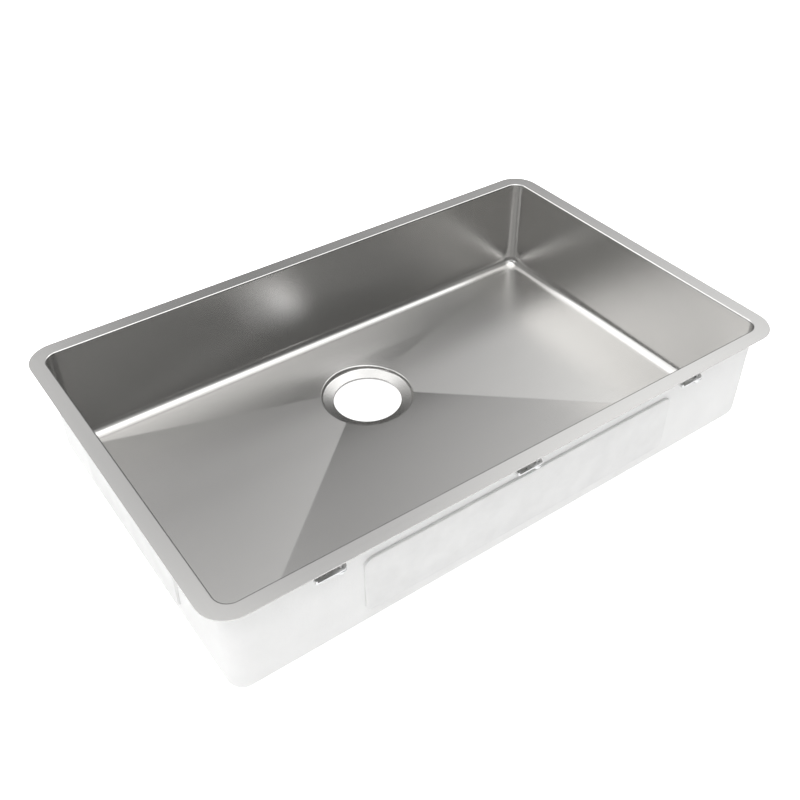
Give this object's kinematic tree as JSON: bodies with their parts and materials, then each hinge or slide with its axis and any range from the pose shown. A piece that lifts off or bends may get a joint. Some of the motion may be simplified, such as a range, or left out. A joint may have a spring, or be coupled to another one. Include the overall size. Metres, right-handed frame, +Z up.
{
  "type": "kitchen sink",
  "caption": "Shallow rectangular stainless steel sink bowl with a flat rim, creased floor falling to a rear drain opening, sound-deadened outside and swivel clamps under the rim.",
  "frame": {"origin": "centre of the rim's top face, in the plane of that face", "axes": "+X along the length, +Y towards the back where the drain is, +Z up out of the bowl"},
  "size_m": [0.75, 0.474, 0.1508],
  "materials": {
    "steel": "satin, brushed along the length",
    "undercoat": "matte sprayed coat",
    "sound_pad": "matte",
    "stud": "bright",
    "toggle": "zinc plated",
    "washer": "zinc plated",
    "nut": "zinc plated"
  },
  "bodies": {
    "bowl": {"rim_front": "steel", "rim_back": "steel", "rim_left": "steel", "rim_right": "steel", "wall_front": "steel", "wall_back": "steel", "wall_left": "steel", "wall_right": "steel", "cove_front": "steel", "cove_back": "steel", "cove_left": "steel", "cove_right": "steel", "floor_plate": "steel", "undercoat": "undercoat", "pad_front": "sound_pad", "pad_back": "sound_pad", "pad_left": "sound_pad", "pad_right": "sound_pad", "pad_floor_front": "sound_pad", "pad_floor_back": "sound_pad", "pad_floor_left": "sound_pad", "pad_floor_right": "sound_pad", "weld_studs": "stud"},
    "toggle_1": {"toggle_1": "toggle"},
    "washer_1": {"washer_1": "washer"},
    "nut_1": {"nut_1": "nut"},
    "toggle_2": {"toggle_2": "toggle"},
    "washer_2": {"washer_2": "washer"},
    "nut_2": {"nut_2": "nut"},
    "toggle_3": {"toggle_3": "toggle"},
    "washer_3": {"washer_3": "washer"},
    "nut_3": {"nut_3": "nut"},
    "toggle_4": {"toggle_4": "toggle"},
    "washer_4": {"washer_4": "washer"},
    "nut_4": {"nut_4": "nut"},
    "toggle_5": {"toggle_5": "toggle"},
    "washer_5": {"washer_5": "washer"},
    "nut_5": {"nut_5": "nut"},
    "toggle_6": {"toggle_6": "toggle"},
    "washer_6": {"washer_6": "washer"},
    "nut_6": {"nut_6": "nut"},
    "toggle_7": {"toggle_7": "toggle"},
    "washer_7": {"washer_7": "washer"},
    "nut_7": {"nut_7": "nut"},
    "toggle_8": {"toggle_8": "toggle"},
    "washer_8": {"washer_8": "washer"},
    "nut_8": {"nut_8": "nut"}
  },
  "joints": [
    {"name": "clamp_lift_1", "type": "slide", "parent": "bowl", "child": "washer_1", "axis": [0, 0, 1], "range_m": [0, 0.006]},
    {"name": "nut_spin_1", "type": "hinge", "parent": "washer_1", "child": "nut_1", "pos_m": [-0.24, -0.2285, -0.0155], "axis": [0, 0, 1], "range_deg": [0, 2700]},
    {"name": "toggle_swing_1", "type": "hinge", "parent": "washer_1", "child": "toggle_1", "pos_m": [-0.24, -0.2285, -0.0155], "axis": [0, 0, 1], "range_deg": [0, 90]},
    {"name": "clamp_lift_2", "type": "slide", "parent": "bowl", "child": "washer_2", "axis": [0, 0, 1], "range_m": [0, 0.006]},
    {"name": "nut_spin_2", "type": "hinge", "parent": "washer_2", "child": "nut_2", "pos_m": [0, -0.2285, -0.0155], "axis": [0, 0, 1], "range_deg": [0, 2700]},
    {"name": "toggle_swing_2", "type": "hinge", "parent": "washer_2", "child": "toggle_2", "pos_m": [0, -0.2285, -0.0155], "axis": [0, 0, 1], "range_deg": [0, 90]},
    {"name": "clamp_lift_3", "type": "slide", "parent": "bowl", "child": "washer_3", "axis": [0, 0, 1], "range_m": [0, 0.006]},
    {"name": "nut_spin_3", "type": "hinge", "parent": "washer_3", "child": "nut_3", "pos_m": [0.24, -0.2285, -0.0155], "axis": [0, 0, 1], "range_deg": [0, 2700]},
    {"name": "toggle_swing_3", "type": "hinge", "parent": "washer_3", "child": "toggle_3", "pos_m": [0.24, -0.2285, -0.0155], "axis": [0, 0, 1], "range_deg": [0, 90]},
    {"name": "clamp_lift_4", "type": "slide", "parent": "bowl", "child": "washer_4", "axis": [0, 0, 1], "range_m": [0, 0.006]},
    {"name": "nut_spin_4", "type": "hinge", "parent": "washer_4", "child": "nut_4", "pos_m": [-0.24, 0.2285, -0.0155], "axis": [0, 0, 1], "range_deg": [0, 2700]},
    {"name": "toggle_swing_4", "type": "hinge", "parent": "washer_4", "child": "toggle_4", "pos_m": [-0.24, 0.2285, -0.0155], "axis": [0, 0, 1], "range_deg": [0, 90]},
    {"name": "clamp_lift_5", "type": "slide", "parent": "bowl", "child": "washer_5", "axis": [0, 0, 1], "range_m": [0, 0.006]},
    {"name": "nut_spin_5", "type": "hinge", "parent": "washer_5", "child": "nut_5", "pos_m": [0, 0.2285, -0.0155], "axis": [0, 0, 1], "range_deg": [0, 2700]},
    {"name": "toggle_swing_5", "type": "hinge", "parent": "washer_5", "child": "toggle_5", "pos_m": [0, 0.2285, -0.0155], "axis": [0, 0, 1], "range_deg": [0, 90]},
    {"name": "clamp_lift_6", "type": "slide", "parent": "bowl", "child": "washer_6", "axis": [0, 0, 1], "range_m": [0, 0.006]},
    {"name": "nut_spin_6", "type": "hinge", "parent": "washer_6", "child": "nut_6", "pos_m": [0.24, 0.2285, -0.0155], "axis": [0, 0, 1], "range_deg": [0, 2700]},
    {"name": "toggle_swing_6", "type": "hinge", "parent": "washer_6", "child": "toggle_6", "pos_m": [0.24, 0.2285, -0.0155], "axis": [0, 0, 1], "range_deg": [0, 90]},
    {"name": "clamp_lift_7", "type": "slide", "parent": "bowl", "child": "washer_7", "axis": [0, 0, 1], "range_m": [0, 0.006]},
    {"name": "nut_spin_7", "type": "hinge", "parent": "washer_7", "child": "nut_7", "pos_m": [-0.3665, 0, -0.0155], "axis": [0, 0, 1], "range_deg": [0, 2700]},
    {"name": "toggle_swing_7", "type": "hinge", "parent": "washer_7", "child": "toggle_7", "pos_m": [-0.3665, 0, -0.0155], "axis": [0, 0, 1], "range_deg": [0, 90]},
    {"name": "clamp_lift_8", "type": "slide", "parent": "bowl", "child": "washer_8", "axis": [0, 0, 1], "range_m": [0, 0.006]},
    {"name": "nut_spin_8", "type": "hinge", "parent": "washer_8", "child": "nut_8", "pos_m": [0.3665, 0, -0.0155], "axis": [0, 0, 1], "range_deg": [0, 2700]},
    {"name": "toggle_swing_8", "type": "hinge", "parent": "washer_8", "child": "toggle_8", "pos_m": [0.3665, 0, -0.0155], "axis": [0, 0, 1], "range_deg": [0, 90]}
  ],
  "couplings": [
    {"joint": "nut_spin_1", "follows": "clamp_lift_1", "rad_per_m": 7854},
    {"joint": "nut_spin_2", "follows": "clamp_lift_2", "rad_per_m": 7854},
    {"joint": "nut_spin_3", "follows": "clamp_lift_3", "rad_per_m": 7854},
    {"joint": "nut_spin_4", "follows": "clamp_lift_4", "rad_per_m": 7854},
    {"joint": "nut_spin_5", "follows": "clamp_lift_5", "rad_per_m": 7854},
    {"joint": "nut_spin_6", "follows": "clamp_lift_6", "rad_per_m": 7854},
    {"joint": "nut_spin_7", "follows": "clamp_lift_7", "rad_per_m": 7854},
    {"joint": "nut_spin_8", "follows": "clamp_lift_8", "rad_per_m": 7854}
  ]
}
